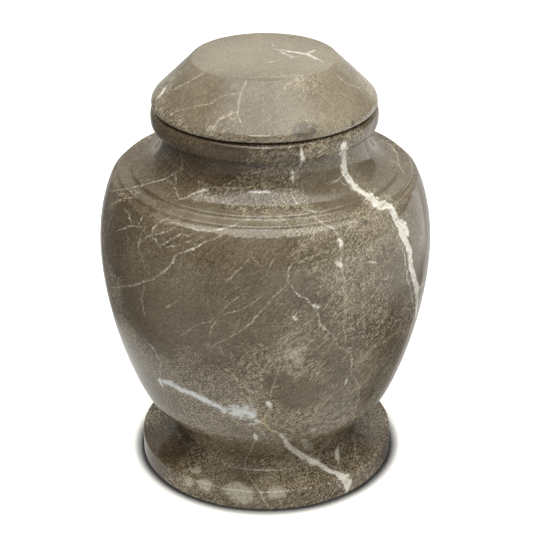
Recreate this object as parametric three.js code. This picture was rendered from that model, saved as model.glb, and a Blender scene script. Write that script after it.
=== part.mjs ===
// A turned stone urn in two pieces: the hollow vessel, and the lid that rests on its rim.
// Millimetres, +Z up, with the origin at the centre of the underside.
import * as THREE from 'three';

// Driving dimensions: radii are from the axis, heights from the underside
const urnHeight = 260;
const facets = 60;
const stone = { color: 0x7d7363, roughness: 0.25, metalness: 0 };
const foot = { radius: 78.8, height: 12.8, arris: 0.7, creaseRadius: 58, rise: 1.1 };
const waist = { lipRadius: 57.4, lipHeight: 15.2, hollowIn: 3.5, hollowUp: 9 };
const belly = { radius: 99.7, height: 145, fullnessBelow: 46, fullnessAbove: 20 };
const underside = { radius: 74, height: 44, slope: 46, coveReach: 11, bellyReach: 9 };
const shoulder = { radius: 90.4, height: 188.8, slope: 58, reach: 7.5 };
const ledge = { radius: 78.8, height: 194.7, riser: 2.2, batter: 0.4 };
const lowerLedge = { tread: 8.1, treadFall: 0.3, riser: 2 };
const neck = { radius: 60.3, top: 220.6, flare: 1.1 };
const collar = { radius: 66.8, widestHeight: 225.6, rimRadius: 64.4, rimHeight: 231, lowerRound: 1.2 };
const hollow = { wall: 11, floorHeight: 32, floorRadius: 34, mouthRadius: 42, throatHeight: 190, arris: 1 };
const chamber = { throatReach: 27.5, throatFall: 5.5, fullnessAbove: 27.5, fullnessBelow: 49.5, heelInset: 22 };
const lid = { radius: 66, discRadius: 42.1, discArris: 0.6, coneFoot: 236.4, coneRound: 4, lowerRound: 1.5 };
const lidJoint = { landRadius: 57, shadowGap: 1.1, spigotClearance: 1, spigotDepth: 12, spigotArris: 1 };

// How many straight steps each round stretch of a profile is turned in
const outerSteps = { cove: 6, belly: 10, shoulder: 6, neck: 7, collarFoot: 3, collarRim: 4 };
const chamberSteps = { top: 8, bottom: 9 };
const lidSteps = { lowerRound: 2, coneRound: 4 };

/** A half profile drawn in radius and height, which starts on the axis and goes round the solid to it. */
class Profile {
  constructor(height) {
    this.points = [new THREE.Vector2(0, height)];
  }

  line(radius, height) {
    this.points.push(new THREE.Vector2(radius, height));
    return this;
  }

  along(curve, steps) {
    this.points.push(...curve.getPoints(steps).slice(1));
    return this;
  }

  /** A round that leaves the last point towards a corner and ends beyond it. */
  round([cornerRadius, cornerHeight], [radius, height], steps) {
    const corner = new THREE.Vector2(cornerRadius, cornerHeight);
    const end = new THREE.Vector2(radius, height);
    return this.along(new THREE.QuadraticBezierCurve(this.points.at(-1), corner, end), steps);
  }

  /** A long sweep with a handle at each end. */
  sweep([leaveRadius, leaveHeight], [meetRadius, meetHeight], [radius, height], steps) {
    const leave = new THREE.Vector2(leaveRadius, leaveHeight);
    const meet = new THREE.Vector2(meetRadius, meetHeight);
    const end = new THREE.Vector2(radius, height);
    return this.along(new THREE.CubicBezierCurve(this.points.at(-1), leave, meet, end), steps);
  }

  /** Turns the profile about +Z into a closed solid. */
  turned() {
    const geometry = new THREE.LatheGeometry(this.points, facets);
    geometry.rotateX(Math.PI / 2);
    return geometry;
  }
}

/** A handle that leaves a point at a slope in degrees; a negative length goes back down it. */
function handle(radius, height, slope, length) {
  const angle = THREE.MathUtils.degToRad(slope);
  return [radius + length * Math.cos(angle), height + length * Math.sin(angle)];
}

function drawFoot(profile) {
  profile
    .line(foot.radius, 0)
    .line(foot.radius, foot.height - foot.arris)
    .line(foot.radius - foot.arris, foot.height)
    .line(foot.creaseRadius, foot.height + foot.rise)
    .line(waist.lipRadius, waist.lipHeight);
}

function drawBelly(profile) {
  const { radius, height, slope, coveReach, bellyReach } = underside;
  profile
    .sweep(
      [waist.lipRadius - waist.hollowIn, waist.lipHeight + waist.hollowUp],
      handle(radius, height, slope, -coveReach),
      [radius, height],
      outerSteps.cove,
    )
    .sweep(
      handle(radius, height, slope, bellyReach),
      [belly.radius, belly.height - belly.fullnessBelow],
      [belly.radius, belly.height],
      outerSteps.belly,
    )
    .sweep(
      [belly.radius, belly.height + belly.fullnessAbove],
      handle(shoulder.radius, shoulder.height, -shoulder.slope, shoulder.reach),
      [shoulder.radius, shoulder.height],
      outerSteps.shoulder,
    );
}

function drawShoulderSteps(profile) {
  const treadHeight = ledge.height - ledge.riser;
  const treadEnd = ledge.radius + lowerLedge.tread;
  const treadEdge = treadHeight - lowerLedge.treadFall;
  profile
    .line(treadEnd + ledge.batter, treadEdge - lowerLedge.riser)
    .line(treadEnd, treadEdge)
    .line(ledge.radius + ledge.batter, treadHeight)
    .line(ledge.radius, ledge.height);
}

function drawNeckAndCollar(profile) {
  const collarFoot = collar.radius - collar.lowerRound;
  profile
    .round([neck.radius, ledge.height + neck.flare], [neck.radius, neck.top], outerSteps.neck)
    .line(collarFoot, neck.top)
    .round([collar.radius, neck.top], [collar.radius, collar.widestHeight], outerSteps.collarFoot)
    .round([collar.radius, collar.rimHeight], [collar.rimRadius, collar.rimHeight], outerSteps.collarRim);
}

function drawHollow(profile) {
  const { wall, floorHeight, floorRadius, mouthRadius, throatHeight, arris } = hollow;
  const widest = belly.radius - wall;
  profile
    .line(mouthRadius + arris, collar.rimHeight)
    .line(mouthRadius, collar.rimHeight - arris)
    .line(mouthRadius, throatHeight)
    .sweep(
      [mouthRadius + chamber.throatReach, throatHeight - chamber.throatFall],
      [widest, belly.height + chamber.fullnessAbove],
      [widest, belly.height],
      chamberSteps.top,
    )
    .sweep(
      [widest, belly.height - chamber.fullnessBelow],
      [widest - chamber.heelInset, floorHeight],
      [floorRadius, floorHeight],
      chamberSteps.bottom,
    )
    .line(0, floorHeight);
}

function makeBody() {
  const profile = new Profile(0);
  drawFoot(profile);
  drawBelly(profile);
  drawShoulderSteps(profile);
  drawNeckAndCollar(profile);
  drawHollow(profile);
  return profile.turned();
}

function makeLid() {
  const { radius, discRadius, discArris, coneFoot, coneRound, lowerRound } = lid;
  const { landRadius, shadowGap, spigotClearance, spigotDepth, spigotArris } = lidJoint;
  const rim = collar.rimHeight;
  const spigotRadius = hollow.mouthRadius - spigotClearance;
  const lidBottom = rim + shadowGap;
  const coneSlope = Math.atan2(urnHeight - coneFoot, radius - discRadius);
  const roundStart = [radius - coneRound * Math.cos(coneSlope), coneFoot + coneRound * Math.sin(coneSlope)];
  return new Profile(rim - spigotDepth)
    .line(spigotRadius - spigotArris, rim - spigotDepth)
    .line(spigotRadius, rim - spigotDepth + spigotArris)
    .line(spigotRadius, rim)
    .line(landRadius, rim)
    .line(landRadius, lidBottom)
    .line(radius - lowerRound, lidBottom)
    .round([radius, lidBottom], [radius, lidBottom + lowerRound], lidSteps.lowerRound)
    .round([radius, coneFoot], roundStart, lidSteps.coneRound)
    .line(discRadius + discArris * Math.cos(coneSlope), urnHeight - discArris * Math.sin(coneSlope))
    .line(discRadius - discArris, urnHeight)
    .line(0, urnHeight)
    .turned();
}

function piece(name, geometry) {
  const mesh = new THREE.Mesh(geometry, new THREE.MeshStandardMaterial(stone));
  mesh.name = name;
  return mesh;
}

const urn = new THREE.Group();
urn.add(piece('urn_body', makeBody()));
urn.add(piece('urn_lid', makeLid()));

export default urn;
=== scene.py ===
"""A turned and polished marble urn with its loose lid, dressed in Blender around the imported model."""
import logging
import math
from dataclasses import dataclass, field
from enum import Enum
from functools import partial

import bmesh
import bpy
import numpy as np
from mathutils import Matrix, Vector
from mathutils.bvhtree import BVHTree
from mathutils.geometry import interpolate_bezier


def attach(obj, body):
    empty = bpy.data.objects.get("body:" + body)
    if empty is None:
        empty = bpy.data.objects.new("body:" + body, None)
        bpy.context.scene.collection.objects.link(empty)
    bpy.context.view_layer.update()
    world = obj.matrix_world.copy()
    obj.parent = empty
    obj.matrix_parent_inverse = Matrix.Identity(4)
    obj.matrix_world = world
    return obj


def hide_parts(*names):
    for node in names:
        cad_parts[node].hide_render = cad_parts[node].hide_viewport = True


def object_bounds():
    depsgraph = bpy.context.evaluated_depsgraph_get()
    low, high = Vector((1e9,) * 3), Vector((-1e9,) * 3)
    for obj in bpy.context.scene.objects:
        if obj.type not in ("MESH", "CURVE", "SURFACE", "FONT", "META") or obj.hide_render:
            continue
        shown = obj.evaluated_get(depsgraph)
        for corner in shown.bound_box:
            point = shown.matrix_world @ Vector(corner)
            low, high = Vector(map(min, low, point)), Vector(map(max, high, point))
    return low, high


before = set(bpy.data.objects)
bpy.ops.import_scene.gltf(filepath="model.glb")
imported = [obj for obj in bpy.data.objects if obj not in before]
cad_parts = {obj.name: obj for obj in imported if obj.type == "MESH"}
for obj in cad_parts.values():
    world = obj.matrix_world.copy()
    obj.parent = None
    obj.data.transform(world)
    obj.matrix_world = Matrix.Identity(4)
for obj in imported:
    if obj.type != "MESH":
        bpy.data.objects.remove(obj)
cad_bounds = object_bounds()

log = logging.getLogger("urn")

Point = tuple[float, float]
Colour = tuple[float, float, float, float]
Socket = bpy.types.NodeSocket

MM = 0.001
BODY = "root"
ON_AXIS = 1e-6
TINY = 1e-9

# The photograph's frame, and the camera that its outline and edges give
PHOTO_SIDE = 533
FOCAL_PIXELS = 1630.7
SENSOR_WIDTH = 36.0
CAMERA_PLACE = Vector((0.0006, -0.8925, 0.5711))
CAMERA_PITCH = math.radians(26.58)
CAMERA_ROLL = math.radians(0.345)

# The skin's vertices carry the veins and patches, so they stand about a millimetre and a half apart
SKIN_STEP = 1.6 * MM
HIDDEN_STEP = 9 * MM
TURN_STEPS = 360


class Tint(Enum):
    """What fills a vein: milky or white calcite, fawn stone, or golden iron stain."""

    MILK = -0.5
    WHITE = 0.0
    FAWN = 0.5
    GOLD = 1.0


class Patch(Enum):
    """A kind of patch in the stone, and the attribute that carries it.

    PALE, SLATE and MILK are colours, and so is the umber kind, which also paints shade on the neck under the
    collar and on the waist and the foot's top. CALM is fine even stone, LACE is full of hairlines, and the
    lighter kind is partly paler stone and partly painted light and sheen.
    """

    PALE = "patch_pale"
    UMBER_AND_PAINTED_SHADE = "patch_umber_and_painted_shade"
    SLATE = "patch_slate"
    CALM = "patch_calm"
    LACE = "patch_lace"
    MIST = "patch_paler_and_painted_light"
    MILK = "patch_milk"


@dataclass(frozen=True)
class Camera:
    """The photograph's camera, which also places what is read off the photograph."""

    place: Vector
    pitch: float
    roll: float
    focal: float

    def axes(self) -> tuple[Vector, Vector, Vector]:
        """Works out which way the camera faces.

        Returns:
            The image's right, the image's down and the way the camera looks.
        """
        forward = Vector((0.0, math.cos(self.pitch), -math.sin(self.pitch)))
        right = Vector((1.0, 0.0, 0.0))
        down = forward.cross(right)
        rolled_right = right * math.cos(self.roll) + down * math.sin(self.roll)
        rolled_down = down * math.cos(self.roll) - right * math.sin(self.roll)
        return rolled_right, rolled_down, forward

    def sight(self, x: float, y: float) -> Vector:
        """Gives the line of sight through a point of the photograph.

        Args:
            x: Pixels from the photograph's left edge.
            y: Pixels from its top edge.

        Returns:
            The direction, of length one.
        """
        right, down, forward = self.axes()
        middle = PHOTO_SIDE / 2
        return (forward * self.focal + right * (x - middle) + down * (y - middle)).normalized()

    def build(self) -> bpy.types.Object:
        """Makes the Blender camera and gives it to the scene.

        Returns:
            The camera object.
        """
        data = bpy.data.cameras.new("photograph")
        data.sensor_width = SENSOR_WIDTH
        data.lens = self.focal / PHOTO_SIDE * SENSOR_WIDTH
        camera = bpy.data.objects.new("photograph", data)
        right, down, forward = self.axes()
        turn = Matrix((right, -down, -forward)).transposed()
        camera.matrix_world = Matrix.Translation(self.place) @ turn.to_4x4()
        bpy.context.scene.collection.objects.link(camera)
        bpy.context.scene.camera = camera
        return camera


@dataclass
class HalfProfile:
    """A half profile in radius and height, in millimetres, with vertices close enough for the skin."""

    step: float = SKIN_STEP
    points: list[Vector] = field(default_factory=list)

    def start(self, radius: float, height: float) -> "HalfProfile":
        """Sets the first point and returns the profile."""
        self.points.append(Vector((radius, 0.0, height)) * MM)
        return self

    def line(self, radius: float, height: float) -> "HalfProfile":
        """Draws a straight stretch.

        Args:
            radius: The end's distance from the axis.
            height: The end's height.

        Returns:
            The profile.
        """
        end = Vector((radius, 0.0, height)) * MM
        begin = self.points[-1]
        count = max(1, round((end - begin).length / self.step))
        self.points += [begin.lerp(end, i / count) for i in range(1, count + 1)]
        return self

    def sweep(self, leave: Point, meet: Point, end: Point) -> "HalfProfile":
        """Draws a curve with a handle at each end.

        Args:
            leave: The handle that the curve leaves its last point towards.
            meet: The handle that it arrives from.
            end: The point that it ends at.

        Returns:
            The profile.
        """
        begin = self.points[-1]
        handles = [Vector((radius, 0.0, height)) * MM for radius, height in (leave, meet, end)]
        chord = (handles[-1] - begin).length
        curve_over_chord = 1.1
        count = max(4, round(curve_over_chord * chord / self.step))
        self.points += interpolate_bezier(begin, handles[0], handles[1], handles[2], count + 1)[1:]
        return self

    def round(self, corner: Point, end: Point) -> "HalfProfile":
        """Rounds a corner, with both handles two thirds of the way to it.

        Args:
            corner: The corner that the last stretch heads for.
            end: The point where the round ends.

        Returns:
            The profile.
        """
        begin = self.points[-1] / MM
        two_thirds = 2 / 3
        leave = [a + two_thirds * (b - a) for a, b in zip((begin.x, begin.z), corner)]
        meet = [a + two_thirds * (b - a) for a, b in zip(end, corner)]
        return self.sweep(tuple(leave), tuple(meet), end)

    def turn(self) -> bmesh.types.BMesh:
        """Turns the profile about the axis into a closed skin.

        Returns:
            The turned mesh, with no doubles and its faces outward.
        """
        mesh = bmesh.new()
        rail = [mesh.verts.new(point) for point in self.points]
        edges = [mesh.edges.new(pair) for pair in zip(rail[:-1], rail[1:])]
        bmesh.ops.spin(
            mesh,
            geom=rail + edges,
            cent=(0.0, 0.0, 0.0),
            axis=(0.0, 0.0, 1.0),
            angle=math.tau,
            steps=TURN_STEPS,
            use_merge=True,
        )
        bmesh.ops.remove_doubles(mesh, verts=mesh.verts, dist=ON_AXIS)
        bmesh.ops.recalc_face_normals(mesh, faces=mesh.faces)
        return mesh


def soften(mesh: bmesh.types.BMesh, corner: Point, width: float) -> None:
    """Rounds one turned edge.

    Args:
        mesh: The turned mesh.
        corner: The edge's radius and height, in millimetres.
        width: How far the round reaches from the edge, in millimetres.
    """
    radius, height = corner
    near = 0.01 * MM

    def on_corner(vertex: bmesh.types.BMVert) -> bool:
        """Says whether a vertex lies on the edge."""
        return abs(vertex.co.xy.length - radius * MM) < near and abs(vertex.co.z - height * MM) < near

    corners = {vertex for vertex in mesh.verts if on_corner(vertex)}
    ring = {edge for vertex in corners for edge in vertex.link_edges if edge.other_vert(vertex) in corners}
    bmesh.ops.bevel(
        mesh,
        geom=list(ring),
        offset=width * MM,
        offset_type="OFFSET",
        affect="EDGES",
        segments=4,
        profile=0.5,
        material=-1,
        clamp_overlap=True,
    )


@dataclass(frozen=True)
class Vein:
    """A vein, followed through the photograph or laid round the sides that it doesn't show.

    width is in millimetres, and taper is the share of it that is lost at the ends. seen holds points of the
    photograph, and laid holds turns from the front in degrees with heights in millimetres.
    """

    name: str
    width: float
    seen: tuple[Point, ...] = ()
    laid: tuple[Point, ...] = ()
    tint: Tint = Tint.FAWN
    taper: float = 0.5


@dataclass(frozen=True)
class Blotch:
    """One patch, seen at a point of the photograph or laid where it doesn't show, as a vein is.

    across is its size in millimetres.
    """

    across: float
    strength: float = 1.0
    seen: Point | None = None
    laid: Point | None = None


Patches = dict[Patch, tuple[Blotch, ...]]


def smooth_step(low: float, high: float, value: np.ndarray) -> np.ndarray:
    """Ramps softly from 0 at low to 1 at high."""
    t = np.clip((value - low) / (high - low), 0.0, 1.0)
    return t * t * (3.0 - 2.0 * t)


class StoneMap:
    """Writes the veins and patches of one piece on to its vertices, for its material to read."""

    LAYERS = 5
    REACH = 6 * MM
    CLEARANCE = 9 * MM
    PIXEL_STEP = 2.5
    LAID_STEP = 2.0
    OUTSIDE = 0.3
    CHUNK = 4000
    TAPERED_SHARE = 0.25
    END_FADE = 1.5 * MM
    MOUND_REACH = 2.0
    FADE_FROM = 0.7
    NEARLY_ALONG = 0.3
    NUDGE_STEP = 0.5
    NUDGE_LIMIT = 12.0

    def __init__(self, piece: bpy.types.Object, camera: Camera) -> None:
        """Gets the piece's vertices and a tree to cast sight lines at.

        Args:
            piece: The piece that carries the stone.
            camera: The photograph's camera.
        """
        self.piece = piece
        self.camera = camera
        data = piece.data
        count = len(data.vertices)
        places = np.empty(count * 3)
        normals = np.empty(count * 3)
        data.vertices.foreach_get("co", places)
        data.vertices.foreach_get("normal", normals)
        self.places = places.reshape(-1, 3)
        self.normals = normals.reshape(-1, 3)
        mesh = bmesh.new()
        mesh.from_mesh(data)
        self.tree = BVHTree.FromBMesh(mesh)
        mesh.free()
        self.layers = [np.tile([self.REACH / MM, 0.0, 0.0], (count, 1)) for _ in range(self.LAYERS)]
        self.drawn: list[list[np.ndarray]] = [[] for _ in range(self.LAYERS)]

    def under(self, x: float, y: float) -> Vector:
        """Finds what a point of the photograph shows, or the stone's edge where it falls just beside the stone.

        Args:
            x: Pixels from the photograph's left edge.
            y: Pixels from its top edge.

        Returns:
            The place on the surface.

        Raises:
            ValueError: The stone is more than a dozen pixels away.
        """
        middle = PHOTO_SIDE / 2
        for nudge in np.arange(0.0, self.NUDGE_LIMIT, self.NUDGE_STEP):
            sight = self.camera.sight(x + math.copysign(nudge, middle - x), y)
            hit = self.tree.ray_cast(self.camera.place, sight)[0]
            if hit is not None:
                return hit
        raise ValueError(f"the stone isn't under {x}, {y}")

    def beside(self, turn: float, height: float) -> Vector:
        """Finds the outside from the side.

        Args:
            turn: Degrees round from the front.
            height: Millimetres above the underside.

        Returns:
            The place on the surface.
        """
        angle = math.radians(turn)
        out = Vector((math.sin(angle), -math.cos(angle), 0.0))
        start = out * self.OUTSIDE + Vector((0.0, 0.0, height * MM))
        return self.tree.ray_cast(start, -out)[0]

    def trace(self, vein: Vein) -> np.ndarray:
        """Follows a vein over the surface.

        Args:
            vein: The vein.

        Returns:
            Points on the surface, about as close together as the skin's vertices.
        """
        if vein.seen:
            find, points, step = self.under, vein.seen, self.PIXEL_STEP
        else:
            find, points, step = self.beside, vein.laid, self.LAID_STEP
        line = [find(*points[0])]
        for begin, end in zip(points[:-1], points[1:]):
            count = max(1, math.ceil(math.dist(begin, end) / step))
            for i in range(1, count + 1):
                line.append(find(*(a + (b - a) * i / count for a, b in zip(begin, end))))
        return np.array([point[:] for point in line])

    def free_layer(self, line: np.ndarray) -> int:
        """Picks the first layer whose veins stay clear of a line, or the one where they stay clearest.

        Args:
            line: Points on the surface.

        Returns:
            The layer's number.
        """
        room = []
        for index, others in enumerate(self.drawn):
            gaps = [np.min(np.linalg.norm(line[:, None] - other[None], axis=2)) for other in others]
            room.append(min(gaps, default=1.0))
            if room[-1] > self.CLEARANCE:
                return index
        return int(np.argmax(room))

    def measure(self, vein: Vein, line: np.ndarray, some: np.ndarray) -> tuple[np.ndarray, ...]:
        """Measures some of the vertices against a vein.

        Args:
            vein: The vein.
            line: The vein's points on the surface.
            some: The numbers of the vertices.

        Returns:
            Their distance, the same with the side as its sign, and the vein's half width there, in millimetres.
        """
        begin = line[:-1]
        along = line[1:] - begin
        length = np.maximum(np.linalg.norm(along, axis=1), TINY)
        heading = along / length[:, None]
        travelled = np.concatenate([[0.0], np.cumsum(length)])
        total = travelled[-1]
        offset = self.places[some][:, None] - begin[None]
        share = np.clip(np.sum(offset * heading[None], axis=2), 0.0, length[None])
        gap = np.linalg.norm(offset - share[..., None] * heading[None], axis=2)
        nearest = np.argmin(gap, axis=1)
        rows = np.arange(len(some))
        distance = gap[rows, nearest]
        across = np.cross(self.normals[some], heading[nearest])
        side = np.sum(offset[rows, nearest] * across, axis=1)
        signed = np.where(np.abs(side) > self.NEARLY_ALONG * distance, side, np.copysign(distance, side))
        at = travelled[nearest] + share[rows, nearest]
        ends = np.minimum(at, total - at) / total
        half = vein.width / 2 * (1.0 - vein.taper * (1.0 - smooth_step(0.0, self.TAPERED_SHARE, ends)))
        past_begin = (share[rows, nearest] <= 0) & (nearest == 0)
        past_end = (share[rows, nearest] >= length[nearest]) & (nearest == len(begin) - 1)
        beyond = np.sqrt(np.maximum(distance**2 - side**2, 0.0))
        fade = np.where(past_begin | past_end, 1.0 - smooth_step(0.0, self.END_FADE, beyond), 1.0)
        fade *= 1.0 - smooth_step(self.FADE_FROM * self.REACH, self.REACH, distance)
        return distance / MM, signed / MM, half * fade

    def draw(self, vein: Vein) -> None:
        """Adds one vein to a layer: its signed distance and half width in millimetres, and its tint.

        Args:
            vein: The vein.
        """
        line = self.trace(vein)
        index = self.free_layer(line)
        log.debug("%s: layer %d", vein.name, index)
        self.drawn[index].append(line)
        layer = self.layers[index]
        low = line.min(axis=0) - self.REACH
        high = line.max(axis=0) + self.REACH
        nearby = np.flatnonzero(np.all((self.places > low) & (self.places < high), axis=1))
        for some in np.array_split(nearby, max(1, len(nearby) // self.CHUNK)):
            distance, signed, half = self.measure(vein, line, some)
            closer = distance < np.abs(layer[some, 0])
            layer[some[closer], 0] = signed[closer]
            layer[some[closer], 1] = half[closer]
            layer[some[closer], 2] = vein.tint.value

    def spread(self, kind: Patch, blotches: tuple[Blotch, ...]) -> None:
        """Writes one kind of patch as a soft mound around each of its places.

        Args:
            kind: The kind of patch.
            blotches: Its places.
        """
        amount = np.zeros(len(self.places))
        for blotch in blotches:
            centre = np.array(self.under(*blotch.seen) if blotch.seen else self.beside(*blotch.laid))
            gap = np.linalg.norm(self.places - centre, axis=1) / (blotch.across / 2 * MM)
            mound = 1.0 - smooth_step(0.0, self.MOUND_REACH, gap)
            amount = np.maximum(amount, blotch.strength * mound)
        attribute = self.piece.data.attributes.new(kind.value, "FLOAT", "POINT")
        attribute.data.foreach_set("value", amount.astype(np.float32))

    def write(self, veins: tuple[Vein, ...], patches: Patches) -> None:
        """Writes every layer of veins and every kind of patch.

        Args:
            veins: The piece's veins.
            patches: The piece's patches.
        """
        for vein in veins:
            self.draw(vein)
        for index, layer in enumerate(self.layers):
            attribute = self.piece.data.attributes.new(f"vein_{index}", "FLOAT_VECTOR", "POINT")
            attribute.data.foreach_set("vector", layer.astype(np.float32).ravel())
        for kind in Patch:
            self.spread(kind, patches.get(kind, ()))


class ShaderBench:
    """Lays out and joins the nodes of one material, or of the world.

    Where an argument may be a socket or a plain value, its type is object.
    """

    def __init__(self, owner: bpy.types.Material | bpy.types.World) -> None:
        """Clears the owner's tree.

        Args:
            owner: The material or world to fill.
        """
        owner.use_nodes = True
        self.tree = owner.node_tree
        self.tree.nodes.clear()

    def node(self, kind: str, **settings: object) -> bpy.types.Node:
        """Adds a node and sets its properties.

        Args:
            kind: The node's type.
            **settings: Properties of the node.

        Returns:
            The node.
        """
        node = self.tree.nodes.new(kind)
        for name, value in settings.items():
            setattr(node, name, value)
        return node

    def feed(self, socket: Socket, value: object) -> None:
        """Joins a socket to another, or sets it to a plain value.

        Args:
            socket: The input to feed.
            value: What it gets.
        """
        if isinstance(value, Socket):
            self.tree.links.new(value, socket)
        else:
            socket.default_value = value

    def math(self, operation: str, *values: object) -> Socket:
        """Adds a math node.

        Args:
            operation: What it works out.
            *values: What it works on.

        Returns:
            Its result.
        """
        node = self.node("ShaderNodeMath", operation=operation)
        for socket, value in zip(node.inputs, values):
            self.feed(socket, value)
        return node.outputs[0]

    def plus(self, first: object, second: object) -> Socket:
        """Adds two values and returns the sum."""
        return self.math("ADD", first, second)

    def minus(self, first: object, second: object) -> Socket:
        """Takes the second value from the first and returns the rest."""
        return self.math("SUBTRACT", first, second)

    def times(self, first: object, second: object) -> Socket:
        """Multiplies two values and returns the product."""
        return self.math("MULTIPLY", first, second)

    def greater(self, first: object, second: object) -> Socket:
        """Returns the greater of two values."""
        return self.math("MAXIMUM", first, second)

    def ramp(self, value: object, low: object, high: object, start: object = 0.0, end: object = 1.0) -> Socket:
        """Maps a value softly from one range to another, and holds it there.

        Args:
            value: The value.
            low: What becomes start.
            high: What becomes end.
            start: The result at low and beyond it.
            end: The result at high and beyond it.

        Returns:
            The result.
        """
        node = self.node("ShaderNodeMapRange", interpolation_type="SMOOTHSTEP")
        names = ("Value", "From Min", "From Max", "To Min", "To Max")
        for name, number in zip(names, (value, low, high, start, end)):
            self.feed(node.inputs[name], number)
        return node.outputs["Result"]

    def noise(self, place: Socket, scale: float, detail: float = 2.0, rough: float = 0.5) -> bpy.types.Node:
        """Adds a noise texture.

        Args:
            place: Where it is read.
            scale: How fine it is.
            detail: How many finer noises are laid over it.
            rough: How strong the finer ones are.

        Returns:
            Its node.
        """
        node = self.node("ShaderNodeTexNoise")
        for name, value in (("Vector", place), ("Scale", scale), ("Detail", detail), ("Roughness", rough)):
            self.feed(node.inputs[name], value)
        return node

    def level(self, place: Socket, scale: float, detail: float = 2.0, rough: float = 0.5) -> Socket:
        """Adds a noise texture and returns its value, which is about one half."""
        return self.noise(place, scale, detail, rough).outputs["Fac"]

    def swing(self, place: Socket, scale: float, detail: float = 2.0, rough: float = 0.5) -> Socket:
        """Adds a noise texture and returns its value, moved to lie about nought."""
        return self.minus(self.level(place, scale, detail, rough), 0.5)

    def shift(self, place: Socket, by: bpy.types.Node, amount: float) -> Socket:
        """Warps a place by a noise's colour, by up to half an amount in metres, and returns it."""
        centred = self.node("ShaderNodeVectorMath", operation="SUBTRACT")
        self.feed(centred.inputs[0], by.outputs["Color"])
        self.feed(centred.inputs[1], (0.5, 0.5, 0.5))
        scaled = self.node("ShaderNodeVectorMath", operation="SCALE")
        self.feed(scaled.inputs[0], centred.outputs[0])
        self.feed(scaled.inputs["Scale"], amount)
        added = self.node("ShaderNodeVectorMath", operation="ADD")
        self.feed(added.inputs[0], place)
        self.feed(added.inputs[1], scaled.outputs[0])
        return added.outputs[0]

    def crystals(self, place: Socket, scale: float, feature: str = "F1") -> bpy.types.Node:
        """Adds a Voronoi texture, whose cells stand for crystals, and returns its node."""
        node = self.node("ShaderNodeTexVoronoi", feature=feature)
        self.feed(node.inputs["Vector"], place)
        self.feed(node.inputs["Scale"], scale)
        return node

    def parts(self, vector: Socket) -> tuple[Socket, Socket, Socket]:
        """Splits a vector and returns its three parts."""
        node = self.node("ShaderNodeSeparateXYZ")
        self.feed(node.inputs[0], vector)
        return tuple(node.outputs)

    def channels(self, colour: Socket) -> tuple[Socket, Socket, Socket]:
        """Splits a colour and returns its three channels."""
        node = self.node("ShaderNodeSeparateColor")
        self.feed(node.inputs[0], colour)
        return tuple(node.outputs)

    def mix(self, share: object, ground: object, layer: object) -> Socket:
        """Lays one colour over another by a share and returns the result."""
        node = self.node("ShaderNodeMix", data_type="RGBA")
        ground_socket, layer_socket, result = node.inputs[6], node.inputs[7], node.outputs[2]
        self.feed(node.inputs["Factor"], share)
        self.feed(ground_socket, ground)
        self.feed(layer_socket, layer)
        return result

    def amount(self, kind: Patch) -> Socket:
        """Reads how much of a kind of patch there is, and returns it."""
        return self.node("ShaderNodeAttribute", attribute_name=kind.value).outputs["Fac"]

    def layer(self, index: int) -> tuple[Socket, Socket, Socket]:
        """Reads a layer of veins and returns the signed distance, the half width and the tint."""
        return self.parts(self.node("ShaderNodeAttribute", attribute_name=f"vein_{index}").outputs["Vector"])


def linear(red: int, green: int, blue: int) -> Colour:
    """Turns a display colour, from 0 to 255, into the shader's linear colour."""

    def channel(value: int) -> float:
        """Undoes the display curve for one channel."""
        share = value / 255
        return share / 12.92 if share <= 0.04045 else ((share + 0.055) / 1.055) ** 2.4

    return channel(red), channel(green), channel(blue), 1.0


@dataclass(frozen=True)
class Net:
    """A broken net of hairlines: its fineness, and how thin, crooked, strong and broken its lines are."""

    scale: float
    thin: float
    wander: float
    share: float
    gaps: float
    tone: Colour


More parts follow.
